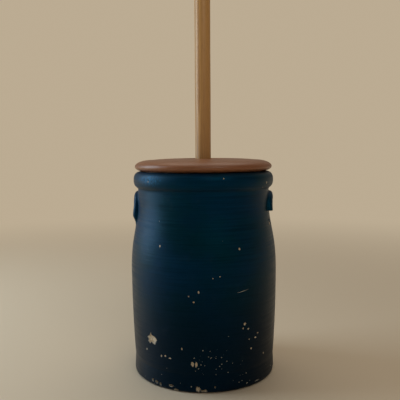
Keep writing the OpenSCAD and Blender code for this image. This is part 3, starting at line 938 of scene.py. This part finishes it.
# Under the lid, a smaller disc fits the mouth and keeps the lid in the middle.
plug_low, plug_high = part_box("lid_plug")
plug_r = plug_high.x
plug_t = plug_high.z - plug_low.z
plug_edge = 0.0015
plug_outline = softened(evenly(
    [(hole_r, 0), (plug_r - plug_edge, 0), (plug_r, plug_edge), (plug_r, plug_t), (hole_r, plug_t), (hole_r, 0)],
    0.0009,
), 1)
plug = turned(
    "lid_disc", [(plug_outline + (0, plug_low.z), 0, 1.0)], segments=120,
    spacing=0.0030, depth=0.00012, wobble=0.0002, seed=12,
    outside=wood(
        "plug wood", (0.46, 0.27, 0.14), (0.22, 0.10, 0.045), 0.55, 0.0036, (0.0, -0.03, -0.02),
        turn=(math.radians(90), 0, 0), waver=0.012,
    )[0],
)
nail_head_r = 0.003
lid_nail_ring = 0.070
lid_nail_places = [
    (lid_nail_ring * math.cos(math.radians(t)), lid_nail_ring * math.sin(math.radians(t)), plug_low.z)
    for t in range(30, 390, 60)
]


def dents(name, places, radius, depth):
    """The bodies of round dents, such as a hammer leaves round a nail's head, open downwards."""
    shape = bmesh.new()
    for x, y, z in places:
        bmesh.ops.create_cone(
            shape, cap_ends=True, segments=28, radius1=radius * 1.25, radius2=radius * 1.02, depth=depth * 2,
            matrix=Matrix.Translation((x, y, z)),
        )
    mesh = bpy.data.meshes.new(name)
    shape.to_mesh(mesh)
    shape.free()
    return linked(name, mesh)


carve(plug, dents("dents", lid_nail_places, nail_head_r, 0.0013))
plug.data.set_sharp_from_angle(angle=math.radians(50))
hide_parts("lid_plug")
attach(plug, "lid")

# Six iron nails, driven up from below, hold the disc to the board. Their heads are hammered flush.
nail_r = 0.0013
iron, tree, shader, spot = material("nail iron", 0.55, Metallic=0.85)
rust = eased(tree, grainy(tree, spot, 700.0, 4.0, 0.65), 0.45, 0.66)
tree.links.new(mixed(tree, rust, (0.13, 0.125, 0.12), (0.11, 0.040, 0.016)), shader["Base Color"])
tree.links.new(eased(tree, rust, 0.0, 1.0, 0.42, 0.85), shader["Roughness"])
bumped(tree, shader, (grainy(tree, spot, 1600.0, 3.0), 0.0002, 0.5))


def nail_outline(length):
    """Half the section of a nail that points up, from the middle of its head."""
    return np.array([
        (0, 0), (0.0012, 0.00003), (0.0022, 0.00012), (0.0028, 0.0003), (0.0030, 0.0006), (0.0029, 0.0010),
        (0.0026, 0.0012), (nail_r, 0.00125), (nail_r, 0.0025), (nail_r, length - 0.004),
        (0.0009, length - 0.0018), (0.00035, length - 0.0002), (0, length),
    ])


def nailing_tree():
    """Drives a copy of one nail in at each place, each turned its own way."""
    tree, given, result = geometry_tree(
        "nails", Places="Geometry", Nail="Object", Flip="Float", Seed="Int", Finish="Material",
    )
    turn = node(tree, "FunctionNodeRandomValue", {
        "Min": 0.0, "Max": 6.28, "Seed": given["Seed"],
    }, data_type="FLOAT").outputs["Value"]
    turned_so = node(tree, "FunctionNodeEulerToRotation", {
        0: node(tree, "ShaderNodeCombineXYZ", {"X": given["Flip"], "Z": turn}).outputs[0],
    }).outputs[0]
    nail = node(tree, "GeometryNodeObjectInfo", {"Object": given["Nail"]}).outputs["Geometry"]
    piece = node(tree, "GeometryNodeInstanceOnPoints", {
        "Points": given["Places"], "Instance": nail, "Rotation": turned_so,
    }).outputs[0]
    piece = node(tree, "GeometryNodeRealizeInstances", {0: piece}).outputs[0]
    piece = node(tree, "GeometryNodeSetMaterial", {"Geometry": piece, "Material": given["Finish"]}).outputs[0]
    tree.links.new(piece, result)
    return tree


nailing = nailing_tree()


def nails(name, places, length, flip, seed, cad_node, body):
    """One set of nails, in place of the CAD model's."""
    one = turned(
        name + "_pattern", [(nail_outline(length), 0, 1.0)], segments=24,
        spacing=0.0012, depth=0.00012, wobble=0.0, seed=seed, outside=iron,
    )
    mesh = bpy.data.meshes.new(name)
    mesh.from_pydata(places, [], [])
    made = shaped(linked(name, mesh), nailing, Nail=one, Flip=flip, Seed=seed, Finish=iron)
    bpy.data.objects.remove(one)
    made.data.set_sharp_from_angle(angle=math.radians(45))
    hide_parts(cad_node)
    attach(made, body)


lid_nail_low, lid_nail_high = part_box("lid_nails")
nails("disc_nails", lid_nail_places, lid_nail_high.z - lid_nail_low.z, 0.0, 31, "lid_nails", "lid")


# The staff
# The staff is one straight rod of a golden hardwood, turned, rounded at its upper end by a rasp and
# many hands, with a tenon that goes through the cross.
tenon_r = 0.0095
slat_t = 0.020
cross_z = staff_low.z
staff_end_round = 0.005
staff_wood = wood(
    "staff wood", (0.60, 0.335, 0.115), (0.34, 0.155, 0.045), 0.42, 0.0019, (0.021, 0.034, 0.0),
    waver=0.006,
)[0]
staff = turned(
    "staff",
    [
        (np.array([(0, cross_z), (tenon_r, cross_z)]), 0, 0.0),
        (evenly([(tenon_r, cross_z), (tenon_r, cross_z + slat_t), (staff_r, cross_z + slat_t)], 0.0012), 0, 0.2),
        (evenly([(staff_r, cross_z + slat_t), (staff_r, staff_high.z - staff_end_round)], 0.0035), 0, 1.0),
        (np.array(arc((staff_r - staff_end_round, staff_high.z - staff_end_round),
                      (staff_end_round, staff_end_round), 0, 90, 10)), 0, 1.0),
        (evenly([(staff_r - staff_end_round, staff_high.z), (0, staff_high.z)], 0.002), 0, 0.6),
    ],
    segments=72, spacing=0.0060, depth=0.00016, wobble=0.0005, seed=21, outside=staff_wood,
)
kerf_low, kerf_tip, kerf_l = 0.00155, 0.00075, 0.01505
kerf_mesh = bpy.data.meshes.new("kerf")
kerf_mesh.from_pydata(
    [
        (side * half, end * 0.0097, cross_z + z)
        for z, half in ((-0.001, kerf_low + 0.00006), (kerf_l, kerf_tip)) for end in (-1, 1) for side in (-1, 1)
    ],
    [],
    [(0, 2, 3, 1), (4, 5, 7, 6), (0, 1, 5, 4), (2, 6, 7, 3), (0, 4, 6, 2), (1, 3, 7, 5)],
)
kerf_mesh.materials.append(staff_wood)
carve(staff, linked("kerf", kerf_mesh))
staff.data.set_sharp_from_angle(angle=math.radians(40))
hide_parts("dasher_staff")
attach(staff, "dasher")


# The cross
# Two bored slats of bare pale wood, half-lapped over each other and washed grey by years of cream.
# The staff's tenon goes through both and is spread by a wedge from below. Four nails hold the lap.
def cross_slat(name, cad_node, turn, pith):
    """A slat, shaped as the CAD model's, with worn edges and its grain along its length."""
    shape = bmesh.new()
    shape.from_mesh(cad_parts[cad_node].data)
    bmesh.ops.remove_doubles(shape, verts=shape.verts, dist=0.000005)
    bmesh.ops.dissolve_limit(shape, angle_limit=math.radians(1), verts=shape.verts, edges=shape.edges)
    mesh = bpy.data.meshes.new(name)
    shape.to_mesh(mesh)
    shape.free()
    piece = linked(name, mesh)
    worn = piece.modifiers.new("worn edges", "BEVEL")
    worn.width = 0.0006
    worn.segments = 2
    worn.limit_method = "ANGLE"
    worn.angle_limit = math.radians(40)
    plain(piece)
    piece.data.materials.clear()
    piece.data.materials.append(wood(
        name + " wood", (0.56, 0.43, 0.27), (0.34, 0.235, 0.13), 0.72, 0.0026, pith, turn=turn, waver=0.01,
    )[0])
    piece.data.set_sharp_from_angle(angle=math.radians(35))
    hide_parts(cad_node)
    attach(piece, "dasher")


cross_slat("lower_slat", "dasher_lower_slat", (0, math.radians(90), 0), (0.0, 0.012, -0.03))
cross_slat("upper_slat", "dasher_upper_slat", (math.radians(90), 0, 0), (0.01, 0.0, 0.04))

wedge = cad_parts["dasher_wedge"]
wedge.data.materials.clear()
wedge.data.materials.append(wood(
    "wedge wood", (0.50, 0.36, 0.21), (0.28, 0.18, 0.095), 0.7, 0.0014, (0.006, 0.0, 0.0), waver=0.004,
)[0])

cross_nail_x = 0.020
cross_nail_low, cross_nail_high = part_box("dasher_nails")
nails(
    "lap_nails", [(x * cross_nail_x, y * cross_nail_x, cross_nail_high.z) for x in (-1, 1) for y in (-1, 1)],
    cross_nail_high.z - cross_nail_low.z, math.pi, 32, "dasher_nails", "dasher",
)


# The studio
# A pale floor that fades into a pale backdrop, a broad soft light from the left like a window, weaker
# warm ones from the front and above, and the camera where the photograph was taken from.
floor_mesh = bpy.data.meshes.new("floor")
floor_half = 12.0
floor_mesh.from_pydata(
    [(x * floor_half, y * floor_half, -0.0005) for x, y in ((-1, -1), (1, -1), (1, 1), (-1, 1))],
    [], [(0, 1, 2, 3)],
)
floor = linked("studio_floor", floor_mesh)
floor_finish, tree, shader, spot = material("pale floor", 0.6)
shader["Base Color"].default_value = (0.66, 0.55, 0.41, 1)
far_off = vcalc(tree, "LENGTH", vcalc(tree, "MULTIPLY", spot, (1, 1, 0)))
backdrop = node(tree, "ShaderNodeEmission", {"Color": (0.50, 0.41, 0.29, 1)})
fade = node(tree, "ShaderNodeMixShader", {
    0: eased(tree, far_off, 0.35, 2.2), 1: tree.nodes["Principled BSDF"].outputs[0], 2: backdrop.outputs[0],
})
tree.links.new(fade.outputs[0], tree.nodes["Material Output"].inputs["Surface"])
floor_mesh.materials.append(floor_finish)

world = bpy.data.worlds.new("studio")
bpy.context.scene.world = world
world.use_nodes = True
tree = world.node_tree
towards_back = node(tree, "ShaderNodeSeparateXYZ", {
    0: node(tree, "ShaderNodeTexCoord").outputs["Generated"],
}).outputs["Y"]
room_light = mixed(tree, eased(tree, towards_back, -0.2, 0.9), (0.030, 0.034, 0.040), (0.26, 0.22, 0.17))
seen = node(tree, "ShaderNodeLightPath").outputs["Is Camera Ray"]
tree.links.new(mixed(tree, seen, room_light, (0.50, 0.41, 0.29)), tree.nodes["Background"].inputs["Color"])


def soft_light(name, place, aim, size, power, colour):
    """A square area light that looks at a place."""
    light = bpy.data.lights.new(name, "AREA")
    light.shape = "RECTANGLE"
    light.size, light.size_y = size
    light.energy = power
    light.color = colour
    lamp = linked(name, light)
    lamp.location = place
    lamp.rotation_euler = (Vector(aim) - Vector(place)).to_track_quat("-Z", "Y").to_euler()


soft_light("window", (-1.5, 0.12, 0.80), (0, 0, 0.28), (1.0, 1.3), 19, (0.72, 0.88, 1.0))
soft_light("room", (0.7, -1.6, 1.5), (0, 0, 0.25), (1.2, 1.2), 9, (1.0, 0.92, 0.80))
soft_light("ceiling", (0, 0.8, 2.6), (0, 0.5, 0), (2.4, 2.4), 24, (1.0, 0.90, 0.76))

camera_turn = math.radians(3)
camera_away = 0.932
camera_up = 0.376
camera_down = math.radians(5.3)
camera_roll = math.radians(-0.38)
camera_left = math.radians(0.36)
lens = bpy.data.cameras.new("camera")
lens.lens = 49.1
lens.sensor_width = 36
camera = linked("camera", lens)
camera.location = (camera_away * math.sin(camera_turn), -camera_away * math.cos(camera_turn), camera_up)
camera.rotation_euler = (
    Matrix.Rotation(camera_turn + camera_left, 3, "Z")
    @ Matrix.Rotation(math.pi / 2 - camera_down, 3, "X")
    @ Matrix.Rotation(camera_roll, 3, "Z")
).to_euler()
bpy.context.scene.camera = camera
bpy.context.scene.view_settings.view_transform = "Standard"

bpy.context.view_layer.update()
